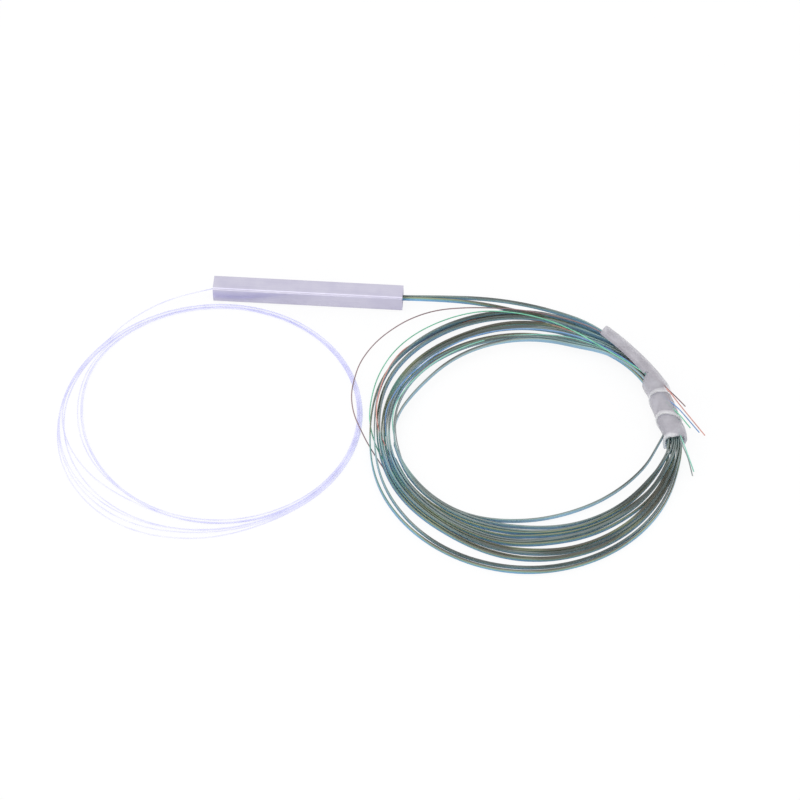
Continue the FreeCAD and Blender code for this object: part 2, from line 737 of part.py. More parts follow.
def make_wrap():
    sections = [strip_section(station) for station in strip_line()]
    sides = Part.makeLoft(sections, False, True, False)
    ends = end_faces(sections[0]) + end_faces(sections[-1])
    skin = Part.makeShell(sides.Faces + ends)
    skin.sewShape()
    keep_shape(Part.makeSolid(skin), "spiral_wrap")


# ---------------------------------------------------------------- build and write

def build():
    make_tube()
    make_input_seal()
    make_output_seal()
    make_chip()
    make_arrays()
    make_bonds()
    make_cushions()
    make_input_fibre_in_tube()
    make_ribbon_roots()
    make_output_glass()
    make_leads()
    make_single_fibres()
    make_coils()
    make_wrap()
    doc.recompute()


def check():
    """Stop before anything is written if a feature failed or a shape is unsound."""
    for thing in doc.Objects:
        if "Invalid" in thing.State or "Error" in thing.State:
            raise RuntimeError("%s did not build" % thing.Label)
    for thing in subparts:
        if thing.Shape.isNull() or not thing.Shape.isValid():
            raise RuntimeError("%s has no sound shape" % thing.Label)


def write():
    os.makedirs("parts", exist_ok=True)
    for thing in subparts:
        thing.Shape.exportStep("parts/%s.step" % thing.Label)
        print("%-22s solids %d  volume %10.4f mm3"
              % (thing.Label, len(thing.Shape.Solids), thing.Shape.Volume))


build()
check()
write()
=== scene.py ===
# %% [markdown]
# # A bare-fibre splitter, dressed for the shelf
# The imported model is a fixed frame: it says where the steel tube, the coils and the
# spiral wrap are. Everything here is drawn in that same frame, in metres; the tables of
# points are in millimetres.
# %% Load the frame
import bmesh
import bpy
import math
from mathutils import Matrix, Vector


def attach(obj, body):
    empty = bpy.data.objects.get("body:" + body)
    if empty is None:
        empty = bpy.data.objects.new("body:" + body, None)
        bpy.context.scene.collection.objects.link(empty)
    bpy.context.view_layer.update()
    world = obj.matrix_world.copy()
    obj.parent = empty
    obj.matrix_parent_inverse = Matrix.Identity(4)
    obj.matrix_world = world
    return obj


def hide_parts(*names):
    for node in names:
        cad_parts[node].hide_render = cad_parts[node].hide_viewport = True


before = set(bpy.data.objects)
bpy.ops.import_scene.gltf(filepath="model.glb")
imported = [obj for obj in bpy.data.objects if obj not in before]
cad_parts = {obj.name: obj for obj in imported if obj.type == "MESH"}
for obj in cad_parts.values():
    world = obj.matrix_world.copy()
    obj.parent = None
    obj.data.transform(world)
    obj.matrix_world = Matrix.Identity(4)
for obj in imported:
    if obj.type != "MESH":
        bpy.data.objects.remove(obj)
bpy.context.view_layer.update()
MM = 0.001

# %% [markdown]
# ## The camera and the white table
# The splitter lies on a white table and is seen from above, about fifty degrees up, with
# a long lens. A constraint could aim the camera. It is turned by its own angles instead,
# so that each of them can be read and changed.
# %% Camera
CAMERA_TURN = math.radians(3.95)
CAMERA_RISE = math.radians(50.3)
CAMERA_PLACE = Vector((46.8977, -398.3447, 449.2203)) * MM
SENSOR_MM = 36
LENS_MM = 127.98

camera_data = bpy.data.cameras.new("camera")
camera_data.sensor_width = SENSOR_MM
camera_data.lens = LENS_MM
camera = bpy.data.objects.new("camera", camera_data)
camera.location = CAMERA_PLACE
camera.rotation_euler = (math.pi / 2 - CAMERA_RISE, 0, CAMERA_TURN)
bpy.context.scene.collection.objects.link(camera)
bpy.context.scene.camera = camera
bpy.context.scene.view_settings.view_transform = "Standard"
print("camera lens", camera_data.lens)


# %% [markdown]
# ## Small helpers for materials
# A finish is a small tree of nodes. It could be wired up in the editor, but a script can
# be read and run again. One function turns a hex colour to linear light and one adds a
# node with its settings and its links. Every pattern takes its scale from a size in
# millimetres.
# %% Material helpers
def linear(code):
    """An sRGB hex colour as the linear colour that a socket takes."""
    parts = [int(code[place:place + 2], 16) / 255 for place in (1, 3, 5)]
    return tuple(part / 12.92 if part <= 0.04045 else ((part + 0.055) / 1.055) ** 2.4
                 for part in parts) + (1.0,)


def add_node(tree, kind, settings=(), stops=(), **sockets):
    """Add a node with its settings, its colour stops and what its sockets take.

    A socket takes a value, or a link where a node or one of its outputs is given; _0, _1
    and so on are sockets by number. Stops are the (place, hex colour) pairs of a colour
    ramp, from left to right.
    """
    node = tree.nodes.new(kind)
    for name, value in dict(settings).items():
        setattr(node, name, value)
    if stops:
        elements = node.color_ramp.elements
        elements.remove(elements[1])
        elements[0].position = stops[0][0]
        elements[0].color = linear(stops[0][1])
        for place, code in stops[1:]:
            elements.new(place).color = linear(code)
    for name, value in sockets.items():
        key = name.replace("_", " ")
        socket = node.inputs[int(key[1:])] if key[1:].isdigit() else node.inputs[key]
        if isinstance(value, bpy.types.Node):
            value = value.outputs[0]
        if isinstance(value, bpy.types.NodeSocket):
            tree.links.new(value, socket)
        else:
            socket.default_value = value
    return node


def new_finish(name):
    """A material whose tree is a Principled shader wired to its output."""
    finish = bpy.data.materials.new(name)
    finish.use_nodes = True
    tree = finish.node_tree
    tree.nodes.clear()
    shader = add_node(tree, "ShaderNodeBsdfPrincipled")
    add_node(tree, "ShaderNodeOutputMaterial", Surface=shader)
    return finish, tree, shader


def shader_of(finish):
    """The Principled shader of a material made by new_finish."""
    return next(node for node in finish.node_tree.nodes
                if node.type == "BSDF_PRINCIPLED")


def per_metre(size):
    """A pattern's scale from the size of its detail in millimetres."""
    return 1 / (size * MM)


print("middle grey is", round(linear("#808080")[0], 3), "in linear light")


# %% [markdown]
# ## Light and floor
# Big soft lamps light the fibre evenly, as in a light tent. A sun would be simpler, but
# it draws a hard shadow beside every fibre. The table is plain white: to the camera it
# is mostly a white of strength one, with a little of its real shading, so that the
# shadow stays under the coils. Polished faces mirror half as much of that white.
# %% Floor, world and lamps
TABLE_HALF = 3.0
PAPER_CLOUD = 6.67
TABLE_WHITE = 0.88
MIRRORED_WHITE = 0.5
TENT_LIGHT = 0.95
LAMPS = (
    # name, place, target, size and power; metres and watts
    ("tent_roof", (-0.1, 0.0, 0.6), (0.015, -0.03, 0), (0.4, 0.4), 0.5),
    ("window_side", (-0.45, -0.15, 0.35), (0.01, -0.03, 0), (0.3, 0.3), 0.3),
    ("front_strip", (0.03, -0.5, 0.08), (0.015, -0.03, 0), (0.6, 0.07), 0.28))


def make_floor():
    """A plain white table top under the splitter, for the camera only."""
    mesh = bpy.data.meshes.new("white_table")
    shape = bmesh.new()
    bmesh.ops.create_grid(shape, x_segments=1, y_segments=1, size=TABLE_HALF)
    shape.to_mesh(mesh)
    shape.free()
    table = bpy.data.objects.new("white_table", mesh)
    bpy.context.scene.collection.objects.link(table)
    finish, tree, shader = new_finish("matt_white_paper")
    # this noise takes its place from 0 to 1 across the table
    clouds = add_node(tree, "ShaderNodeTexNoise", Detail=3.0,
                      Scale=2 * TABLE_HALF * per_metre(PAPER_CLOUD))
    paper = add_node(tree, "ShaderNodeValToRGB", Fac=clouds,
                     stops=((0.3, "#F6F6F8"), (0.7, "#FBFBFD")))
    tree.links.new(paper.outputs[0], shader.inputs["Base Color"])
    shader.inputs["Roughness"].default_value = 0.9
    shader.inputs["Specular IOR Level"].default_value = 0.2
    white = add_node(tree, "ShaderNodeEmission", Color=(1, 1, 1, 1), Strength=1.0)
    rays = add_node(tree, "ShaderNodeLightPath")
    mirrored = add_node(tree, "ShaderNodeMath", {"operation": "MULTIPLY"},
                        _0=rays.outputs["Is Glossy Ray"], _1=MIRRORED_WHITE)
    either = add_node(tree, "ShaderNodeMath", {"operation": "MAXIMUM"},
                      _0=rays.outputs["Is Camera Ray"], _1=mirrored)
    seen = add_node(tree, "ShaderNodeMath", {"operation": "MULTIPLY"},
                    _0=either, _1=TABLE_WHITE)
    mix = add_node(tree, "ShaderNodeMixShader", _0=seen, _1=shader, _2=white)
    output = [node for node in tree.nodes if node.type == "OUTPUT_MATERIAL"][0]
    tree.links.new(mix.outputs[0], output.inputs["Surface"])
    mesh.materials.append(finish)


def make_world():
    """Soft light from all around, behind a background of plain white."""
    world = bpy.data.worlds.new("light_tent")
    world.use_nodes = True
    tree = world.node_tree
    tree.nodes.clear()
    soft = add_node(tree, "ShaderNodeBackground", Color=(1, 1, 1, 1),
                    Strength=TENT_LIGHT)
    white = add_node(tree, "ShaderNodeBackground", Color=(1, 1, 1, 1), Strength=1.0)
    rays = add_node(tree, "ShaderNodeLightPath")
    # metal and clear coatings show the same white background as the camera sees
    shiny = add_node(tree, "ShaderNodeMath", {"operation": "MAXIMUM"},
                     _0=rays.outputs["Is Glossy Ray"],
                     _1=rays.outputs["Is Transmission Ray"])
    direct = add_node(tree, "ShaderNodeMath", {"operation": "MAXIMUM"},
                      _0=rays.outputs["Is Camera Ray"], _1=shiny)
    mix = add_node(tree, "ShaderNodeMixShader", _0=direct, _1=soft, _2=white)
    add_node(tree, "ShaderNodeOutputWorld", Surface=mix)
    bpy.context.scene.world = world


def add_lamp(name, place, target, size, power):
    """A soft rectangular lamp that faces its target."""
    data = bpy.data.lights.new(name, "AREA")
    data.shape = "RECTANGLE"
    data.size, data.size_y = size
    data.energy = power
    lamp = bpy.data.objects.new(name, data)
    lamp.location = place
    facing = Vector(target) - Vector(place)
    lamp.rotation_euler = facing.to_track_quat("-Z", "Y").to_euler()
    bpy.context.scene.collection.objects.link(lamp)


make_floor()
make_world()
for lamp in LAMPS:
    add_lamp(*lamp)
print("table, tent and", len(LAMPS), "lamps are in place")


# %% [markdown]
# ## Lines that fibre follows
# Coated fibre is springy, so it lies in smooth curves. A Bezier curve would need handles
# at every point. A NURBS spline only follows a short list of points and has no kinks, so
# each line is one. Coils get their points from a loop. A line that is only a guide is
# turned to points and removed.
# %% Curve helpers
BEVEL_RESOLUTION = 2


def nurbs_line(name, points, radius=0.0, resolution=6):
    """A smooth open NURBS curve; points and radius are in millimetres."""
    data = bpy.data.curves.new(name, "CURVE")
    data.dimensions = "3D"
    data.resolution_u = resolution
    data.bevel_depth = radius
    data.bevel_resolution = BEVEL_RESOLUTION
    data.use_fill_caps = radius > 0
    spline = data.splines.new("NURBS")
    spline.points.add(len(points) - 1)
    for spot, point in zip(spline.points, points):
        spot.co = (point[0] * MM, point[1] * MM, point[2] * MM, 1)
        spot.radius = MM  # so that bevel_depth is a radius in millimetres
    spline.order_u = 3
    spline.use_endpoint_u = True
    line = bpy.data.objects.new(name, data)
    bpy.context.scene.collection.objects.link(line)
    return line


def points_along(line):
    """The points of a guide line, in metres; the guide is removed."""
    mesh = bpy.data.meshes.new_from_object(line)
    points = [vertex.co.copy() for vertex in mesh.vertices]
    bpy.data.meshes.remove(mesh)
    bpy.data.objects.remove(line)
    return points


def length_of(points):
    """The length of a line of points, in their own unit."""
    return sum((after - before).length for before, after in zip(points, points[1:]))


def track(radii, angle):
    """A smooth radius from a closed row of radii, thirty degrees apart from -180."""
    place = (angle + 180) / 30 % 12
    first = int(place)
    share = place - first
    a, b, c, d = (radii[(first + step) % 12] for step in (-1, 0, 1, 2))
    return b + 0.5 * share * (c - a + share * (2 * a - 5 * b + 4 * c - d
                                               + share * (3 * (b - c) + d - a)))


def smooth(value):
    """An easy ramp from 0 to 1."""
    value = min(1.0, max(0.0, value))
    return value * value * (3 - 2 * value)


print("a row of equal radii stays round:", track((30,) * 12, 45), "mm")

# %% [markdown]
# ## The input fibre
# One clear coated fibre leaves the seal at the tube's left end. It lies in a flat coil
# of eight turns. Nothing ties it, so its turns fan out where they are slack and run
# together where it was held. A spiral would wind too evenly for that, so each turn has a
# row of its own distances from the coil's middle.
# %% Input fibre
INPUT_ROUTE = ((-19.8, 0.0, 2.0), (-26.0, -1.9, 1.65), (-31.4, -4.45, 1.1),
               (-36.0, -8.1, 0.7), (-38.6, -10.9, 0.45))
INPUT_CENTRE = (-17.0, -34.5)
INPUT_TURNS = (
    (31.1, 31.7, 31.7, 30.2, 28.9, 29.8, 31.0, 31.6, 31.9, 31.8, 31.4, 31.2),
    (31.0, 31.0, 30.5, 28.9, 28.7, 29.6, 30.8, 31.5, 31.8, 31.6, 31.2, 30.9),
    (30.9, 30.6, 29.5, 28.4, 28.4, 29.5, 30.7, 31.3, 31.6, 31.4, 31.0, 30.6),
    (30.1, 29.4, 28.7, 28.1, 28.1, 29.3, 30.5, 31.1, 31.3, 31.2, 30.7, 30.4),
    (30.6, 28.0, 25.6, 26.2, 27.9, 29.2, 30.4, 31.0, 31.2, 31.0, 30.6, 30.4),
    (27.4, 25.8, 25.1, 26.3, 27.7, 29.0, 30.3, 30.9, 31.1, 30.9, 30.4, 29.5),
    (26.7, 25.1, 24.9, 26.1, 27.5, 28.9, 30.2, 30.8, 31.0, 30.8, 30.3, 29.3),
    (26.4, 24.9, 24.7, 25.5, 26.9, 28.6, 30.0, 30.6, 30.8, 30.6, 30.0, 28.9),
)
FIBRE_RADIUS = 0.125
POINTS_PER_TURN = 32
POINTS_LEFT_OFF = 4
FIRST_ANGLE = 138.0
# where a turn changes over to the next row, and for which share of the turn
CHANGE_ANGLE, CHANGE_SHARE = 330, 0.35
LOWEST_LEVEL = 0.14
LEVEL_STEP = 0.25
LEVELS = 3


def input_fibre_points():
    """The fibre's route out of the tube and round its coil, clockwise from the exit."""
    points = list(INPUT_ROUTE)
    last = len(INPUT_TURNS) - 1
    for step in range(len(INPUT_TURNS) * POINTS_PER_TURN - POINTS_LEFT_OFF):
        angle = FIRST_ANGLE + 360.0 * step / POINTS_PER_TURN
        # a turn slips under the one before it where they all run together
        turn = (angle - CHANGE_ANGLE) / 360
        whole = math.floor(turn)
        slip = smooth((turn - whole) / CHANGE_SHARE)
        lanes = [max(0, min(last, whole + 1 + extra)) for extra in (-1, 0)]
        before, after = (track(INPUT_TURNS[lane], angle) for lane in lanes)
        radius = before + (after - before) * slip
        level = [LOWEST_LEVEL + LEVEL_STEP * (lane % LEVELS) for lane in lanes]
        height = level[0] + (level[1] - level[0]) * slip
        around = math.radians(angle)
        points.append((INPUT_CENTRE[0] + radius * math.cos(around),
                       INPUT_CENTRE[1] + radius * math.sin(around), height))
    return points


input_points = input_fibre_points()
input_fibre = nurbs_line("input_fibre", input_points, FIBRE_RADIUS)
input_length = length_of(points_along(nurbs_line("input_guide", input_points)))
print("input fibre", round(input_length, 3), "m")

# %% [markdown]
# ## Where the ribbons run in their coil
# Both ribbons wind clockwise and pass through the spiral wrap once a turn. Outside the
# wrap each turn keeps its own lane: lane 0 is a lone inner turn, 1 to 12 are the main
# band, and 13 and 14 are the pair that swings wide. Every turn could have a row of its
# own, but lanes between a few rows need less and keep the turns in order. Inside the wrap
# every turn moves one place inward, where it can't be seen.
# %% Ribbon lanes
RIBBON_CENTRE = (47.0, -35.5)
INNERMOST = (26.5, 24.7, 22.9, 20.8, 20.6, 22.9, 27.1, 28.6, 27.0, 26.1, 25.2, 24.7)
MAIN_INNER = (26.4, 25.1, 23.3, 22.5, 23.7, 25.8, 28.5, 28.9, 27.6, 26.9, 26.6, 26.9)
MAIN_OUTER = (29.9, 29.0, 28.5, 30.2, 31.0, 31.0, 31.0, 31.3, 31.9, 33.4, 33.4, 32.3)
PAIR_INNER = (30.4, 31.0, 32.0, 32.3, 32.2, 31.8, 31.2, 31.5, 32.2, 33.7, 33.7, 32.8)
PAIR_OUTER = (31.3, 31.9, 32.7, 33.3, 33.0, 32.3, 31.4, 31.7, 32.5, 34.0, 34.0, 33.3)
# where the band opens: angle, reach in degrees, share of the band inside it, width
OPENINGS = ((-57, 24, 0.62, 0.13), (-112, 22, 0.22, 0.12), (-5, 30, 0.3, 0.1),
            (135, 30, 0.72, 0.14), (92, 14, 0.5, 0.08))
LAST_MAIN = 12
LANE_WANDER = 0.035


def lane_radius(lane, angle):
    """Distance of a lane from the middle of the coil; lanes may be fractions."""
    inner, outer = track(MAIN_INNER, angle), track(MAIN_OUTER, angle)
    if lane < 1:
        return track(INNERMOST, angle) * (1 - lane) + inner * lane
    if lane > LAST_MAIN:
        pair = (outer, track(PAIR_INNER, angle), track(PAIR_OUTER, angle))
        step = min(1, int(lane - LAST_MAIN))
        share = lane - LAST_MAIN - step
        return pair[step] * (1 - share) + pair[step + 1] * share
    share = (lane - 1) / (LAST_MAIN - 1)
    share += LANE_WANDER * math.sin(math.radians(2 * angle) + 2.1 * lane)
    for middle, reach, place, width in OPENINGS:
        away = abs((angle - middle + 180) % 360 - 180)
        width *= smooth(1.5 - away / reach)
        share = share * (1 - width) + (width if share > place else 0)
    return inner + (outer - inner) * share


print("in front, lane 6 lies", round(lane_radius(6, -90), 1), "mm from the middle")

# %% [markdown]
# ## The bunch inside the wrap
# The wrap lies on the table on an arc of its own and holds the turns in a bunch, one
# ribbon's turns below and the other's above. The turns could be pulled in by a
# simulation, but a shared axis for wrap and turns is sure to keep them together. `held`
# says how much of a turn belongs to the bunch at an angle: all of it in the wrap, nothing
# on the far side of the coil.
# %% Bunch in the wrap
WRAP_CENTRE = Vector((47.0, -36.66, 0))
WRAP_RADIUS = 30.55
WRAP_OUTER = 2.4
WRAP_WALL = 0.5
WRAP_PITCH = 6.2
WRAP_START = 1.0
WRAP_WOUND = 3 * WRAP_PITCH
TAIL_LENGTH = 11.5
TAIL_DRIFT = 1.2
WRAP_DENT = 0.7
# millimetres along the wrap at which the dent starts and ends, and how long it eases
DENT_STARTS, DENT_RISE = 2, 5
DENT_ENDS, DENT_FALL = 15, 4
MIDDLE_ANGLE = 30
LONE_LANE = 0.9
# angles in degrees at which the turns join the bunch, and how long they take over it
JOINS_AT, JOINS_OVER = 70, 34
LEAVES_AT, LEAVES_OVER = -16, 16
LONE_LEAVES_AT, LONE_LEAVES_OVER = 1, 10


def wrap_axis(along):
    """The middle of the wrap at a distance along it, and the way outward, in mm."""
    past = max(0.0, (along - WRAP_WOUND) / TAIL_LENGTH)
    angle = math.radians(WRAP_START) + along / WRAP_RADIUS
    outward = Vector((math.cos(angle), math.sin(angle), 0))
    # the bunch is stiff, so it runs straighter than its arc through the lower turns
    dent = (WRAP_DENT * smooth((along - DENT_STARTS) / DENT_RISE)
            * smooth((DENT_ENDS - along) / DENT_FALL))
    axis = WRAP_CENTRE + outward * (WRAP_RADIUS + TAIL_DRIFT * past * past - dent)
    return axis + Vector((0, 0, WRAP_OUTER)), outward


def held(angle, lane):
    """How much of a turn belongs to the bunch at an angle, from 0 to 1."""
    angle = (angle + 180) % 360 - 180
    if angle >= MIDDLE_ANGLE:
        return smooth((JOINS_AT - angle) / JOINS_OVER)
    if lane < LONE_LANE:
        # the lone inner turn slips out through the slit before the others
        return smooth((angle - LONE_LEAVES_AT) / LONE_LEAVES_OVER)
    return smooth((angle - LEAVES_AT) / LEAVES_OVER)


LEVELS_ABOVE = (1.1, 0.8, 0.35, 0.1, 0.1, 0.4, 1.1, 1.1, 1.1, 1.1, 1.1, 1.1)
LYING_HEIGHT = 0.57
COLUMN_STEP = 0.4
LAYER_STEP = 1.14
# a turn moves to its next lane inside the wrap, from this angle on
SLIP_FROM, SLIP_OVER = 36, 32
DEGREES_A_STEP = 10


def level_above(angle):
    """How high the upper ribbon lies on the lower one round the coil."""
    return track(LEVELS_ABOVE, angle)


def ribbon_spot(lane, column, layer, angle):
    """A point of a ribbon's line: free in its lane, or at its place in the bunch."""
    turn = math.radians(angle)
    radius = lane_radius(lane, angle)
    free = Vector((RIBBON_CENTRE[0] + radius * math.cos(turn),
                   RIBBON_CENTRE[1] + radius * math.sin(turn),
                   LYING_HEIGHT + layer * level_above(angle)))
    share = held(angle, lane)
    if share == 0:
        return free
    axis, outward = wrap_axis(math.radians((angle + 180) % 360 - 180 - WRAP_START)
                              * WRAP_RADIUS)
    bunched = (axis + outward * (column * COLUMN_STEP)
               + Vector((0, 0, (layer - 0.5) * LAYER_STEP)))
    return free.lerp(bunched, share)


def ribbon_coil(lanes, layer, first, last):
    """Points of a ribbon's turns, clockwise from angle `first`; outer lane first."""
    points = []
    steps = round((first - last) / DEGREES_A_STEP)
    for step in range(steps + 1):
        angle = first + (last - first) * step / steps
        turn = (SLIP_FROM - angle) / 360
        whole = math.floor(turn)
        slip = smooth((turn - whole) * 360 / SLIP_OVER)
        now = max(0, min(len(lanes) - 1, whole - 1))
        following = max(0, min(len(lanes) - 1, whole))
        lane = lanes[now] + (lanes[following] - lanes[now]) * slip
        column = (len(lanes) - 1) / 2 - (now + (following - now) * slip)
        points.append(tuple(ribbon_spot(lane, column, layer, angle)))
    return points


FRONT_ROUTE = ((19.8, -0.15, 1.94), (27.0, 0.1, 1.9), (34.0, -0.1, 1.85),
               (40.0, -0.9, 1.75), (45.0, -2.1, 1.7))
BACK_ROUTE = ((19.8, 0.15, 2.06), (29.0, 0.75, 2.05), (38.0, 0.85, 2.1),
              (46.2, -0.3, 2.2), (54.0, -2.75, 2.5), (59.9, -5.4, 2.65))
FRONT_LANES = (14, 12, 11, 9, 8, 7, 4, 3)
BACK_LANES = (13, 10, 6, 5, 1, 0, 2)
# the angles at which each coil starts and at which its last turn ends
FRONT_START, FRONT_END = 80, -165
BACK_START, BACK_END = 50, -172
front_points = list(FRONT_ROUTE) + ribbon_coil(
    FRONT_LANES, 0, FRONT_START, FRONT_END - 360 * (len(FRONT_LANES) - 1))
back_points = list(BACK_ROUTE) + ribbon_coil(
    BACK_LANES, 1, BACK_START, BACK_END - 360 * (len(BACK_LANES) - 1))
print("ribbon turns", len(FRONT_LANES), "and", len(BACK_LANES))

# %% [markdown]
# ## The ribbons
# A ribbon is four coated fibres side by side in a thin clear film, 1.1 by 0.3 mm. It
# stands on edge. A curve's own bevel could twist along the way, so the section is drawn
# upright at every point of the line and the sections are joined into a skin. The section
# has four soft ribs, one for each fibre, and the UV map says how far up the ribbon and
# how far along it a point is.
# %% Ribbon skin
RIBBON_TALL = 1.1
RIBBON_THICK = 0.3
RIBBON_FIBRES = 4
SECTION_STEPS = 12
VALLEY_SHARE = 0.55


def ribbon_section():
    """Half the outline up one side as (across, up), four ribs with shallow valleys."""
    side = []
    for step in range(SECTION_STEPS + 1):
        up = step / SECTION_STEPS
        rib = abs(math.sin(math.pi * RIBBON_FIBRES * up))
        across = RIBBON_THICK / 2 * (VALLEY_SHARE + (1 - VALLEY_SHARE) * rib ** 0.5)
        side.append((across, (up - 0.5) * RIBBON_TALL))
    return side


def ribbon_skin(name, line):
    """A ribbon object: the section stood up at each point of the line and joined."""
    side = ribbon_section()
    outline = side + [(-across, up) for across, up in reversed(side)]
    shape = bmesh.new()
    uv = shape.loops.layers.uv.new("along_ribbon")
    rings = []
    travelled = [0.0]
    for number, point in enumerate(line):
        ahead = line[min(number + 1, len(line) - 1)] - line[max(number - 1, 0)]
        ahead.normalize()
        aside = ahead.cross(Vector((0, 0, 1))).normalized()
        upward = aside.cross(ahead)
        rings.append([shape.verts.new(point + (aside * across + upward * up) * MM)
                      for across, up in outline])
        if number:
            travelled.append(travelled[-1] + (point - line[number - 1]).length)
    count = len(outline)
    for number in range(len(line) - 1):
        for place in range(count):
            beside = (place + 1) % count
            corners = (rings[number][place], rings[number][beside],
                       rings[number + 1][beside], rings[number + 1][place])
            face = shape.faces.new(corners)
            face.smooth = True
            marks = ((place, number), (beside, number), (beside, number + 1),
                     (place, number + 1))
            for loop, (spot, row) in zip(face.loops, marks):
                share_up = outline[spot][1] / RIBBON_TALL + 0.5
                loop[uv].uv = (share_up, travelled[row] / MM)
    for ring in (rings[0][::-1], rings[-1]):
        shape.faces.new(ring)
    bmesh.ops.recalc_face_normals(shape, faces=shape.faces)
    mesh = bpy.data.meshes.new(name)
    shape.to_mesh(mesh)
    shape.free()
    ribbon = bpy.data.objects.new(name, mesh)
    bpy.context.scene.collection.objects.link(ribbon)
    return ribbon


front_line = points_along(nurbs_line("front_guide", front_points, resolution=4))
back_line = points_along(nurbs_line("back_guide", back_points, resolution=4))
front_ribbon = ribbon_skin("front_ribbon", front_line)
back_ribbon = ribbon_skin("back_ribbon", back_line)
print("ribbons", *[round(length_of(line), 3) for line in (front_line, back_line)], "m")

# %% [markdown]
# ## Single fibres of the last turn
# Near their ends the ribbons are split. Each coloured fibre makes its last turn alone,
# some in wide loops. It goes through the wrap once more and comes out of its slit or its
# end as a short loose tail. No rule gives such loops, so their points are listed one by
# one, and a plain round bevel is enough for them.
# %% Single fibres
def bunch_spots(angles, up, out):
    """Places in the upper part of the bunch for a fibre that runs through the wrap."""
    spots = []
    for angle in angles:
        axis, outward = wrap_axis(math.radians(angle - WRAP_START) * WRAP_RADIUS)
        spots.append(tuple(axis + outward * out + Vector((0, 0, up))))
    return spots


SINGLE_ROUTES = {
    "brown_fibre": [(19.4, -45.2, 0.7), (16.3, -40.4, 0.7), (13.5, -34.8, 1.0),
                    (12.0, -31.2, 1.0), (11.15, -26.8, 1.1), (11.4, -22.6, 1.1),
                    (12.3, -17.5, 1.2), (15.2, -11.7, 1.2), (19.5, -6.9, 1.2),
                    (23.6, -3.9, 1.2), (28.0, -2.1, 1.3), (33.2, -1.4, 1.5),
                    (38.5, -1.5, 2.0), (44.8, -2.1, 2.6), (53.2, -4.0, 3.1),
                    (58.4, -6.2, 3.6), (61.8, -8.3, 4.0), (65.6, -12.3, 4.2),
                    (68.8, -15.8, 4.2)]
    + bunch_spots((36,), 1.55, 0.5)
    + [(75.9, -23.8, 4.75), (77.8, -25.1, 3.8), (79.5, -25.8, 2.2)],
    "green_fibre": [(22.2, -47.4, 0.6), (19.2, -43.3, 0.7), (17.0, -39.0, 0.8),
                    (15.3, -33.0, 0.8), (15.3, -26.5, 0.8), (16.4, -20.0, 0.8),
                    (19.2, -13.4, 0.8), (24.0, -7.9, 0.9), (30.5, -3.9, 1.2),
                    (37.0, -2.4, 2.0), (43.1, -2.8, 2.5), (49.7, -4.5, 3.0),
                    (56.4, -7.9, 3.4), (62.7, -12.9, 3.9), (69.2, -17.5, 4.1)]
    + bunch_spots((31, 22), 1.6, 0.0)
    + [(78.3, -30.2, 4.6), (79.35, -31.25, 3.9), (80.5, -31.9, 2.8)],
    "orange_fibre": [(21.6, -44.2, 0.6), (18.6, -38.4, 1.0), (17.2, -34.9, 1.8),
                     (16.7, -31.6, 2.3), (16.7, -27.8, 2.4), (17.7, -21.7, 2.3),
                     (19.6, -16.3, 1.8), (21.9, -12.6, 1.2), (25.3, -9.8, 0.8),
                     (29.3, -6.3, 0.6), (34.4, -4.0, 0.6), (40.6, -2.6, 0.6),
                     (46.9, -3.0, 0.8), (53.3, -5.0, 1.0), (59.6, -8.2, 1.6),
                     (65.9, -13.6, 2.4)]
    + bunch_spots((39, 33), 1.0, 0.9)
    + [(76.05, -24.25, 4.85), (77.2, -25.6, 4.3), (79.4, -27.9, 3.1),
       (83.6, -32.2, 1.0)],
    "blue_fibre": [(19.1, -36.7, 0.9), (18.4, -32.6, 1.6), (19.3, -28.2, 2.2),
                   (22.0, -22.5, 2.4), (24.2, -19.9, 2.4), (27.1, -16.3, 2.4),
                   (31.1, -12.6, 2.4), (35.9, -9.7, 2.4), (40.8, -7.9, 2.4),
                   (47.1, -7.1, 2.5), (54.4, -7.9, 2.8), (61.6, -11.1, 3.2),
                   (67.2, -15.2, 3.6)]
    + bunch_spots((34, 25), 1.6, -0.4)
    + [(77.6, -28.0, 4.7), (79.8, -29.9, 3.4), (82.4, -32.0, 1.6)],
    "aqua_fibre": [(22.0, -41.4, 0.9), (20.2, -35.8, 1.8), (20.1, -30.5, 2.4),
                   (21.6, -26.5, 2.4), (23.3, -23.3, 2.4), (26.2, -19.3, 2.4),
                   (30.4, -15.1, 2.4), (36.4, -11.2, 2.2), (42.0, -9.0, 1.8),
                   (48.5, -8.0, 1.8), (55.0, -8.3, 2.0), (61.2, -10.8, 2.4),
                   (67.0, -14.9, 3.1)]
    + bunch_spots((30, 18, 8), 1.6, 0.5)
    + [(78.55, -35.7, 4.3), (80.05, -39.0, 2.9), (81.35, -41.8, 1.1)],
    "slate_fibre": [(24.3, -47.0, 0.8), (22.1, -41.5, 1.6), (20.7, -35.5, 2.1),
                    (21.0, -28.4, 2.3), (24.0, -21.6, 2.3), (29.3, -15.6, 2.3),
                    (37.2, -10.4, 1.8), (46.4, -8.1, 1.2), (54.6, -8.1, 1.6),
                    (61.4, -11.1, 2.2), (67.2, -15.3, 3.0)]
    + bunch_spots((30, 18, 8), 1.2, 0.9)
    + [(78.4, -36.4, 3.9), (80.0, -38.6, 2.1), (80.6, -40.3, 1.1),
       (81.15, -42.4, 0.5)],
}
singles = {name: nurbs_line(name, route, FIBRE_RADIUS, resolution=8)
           for name, route in SINGLE_ROUTES.items()}
print("single fibres", len(singles))

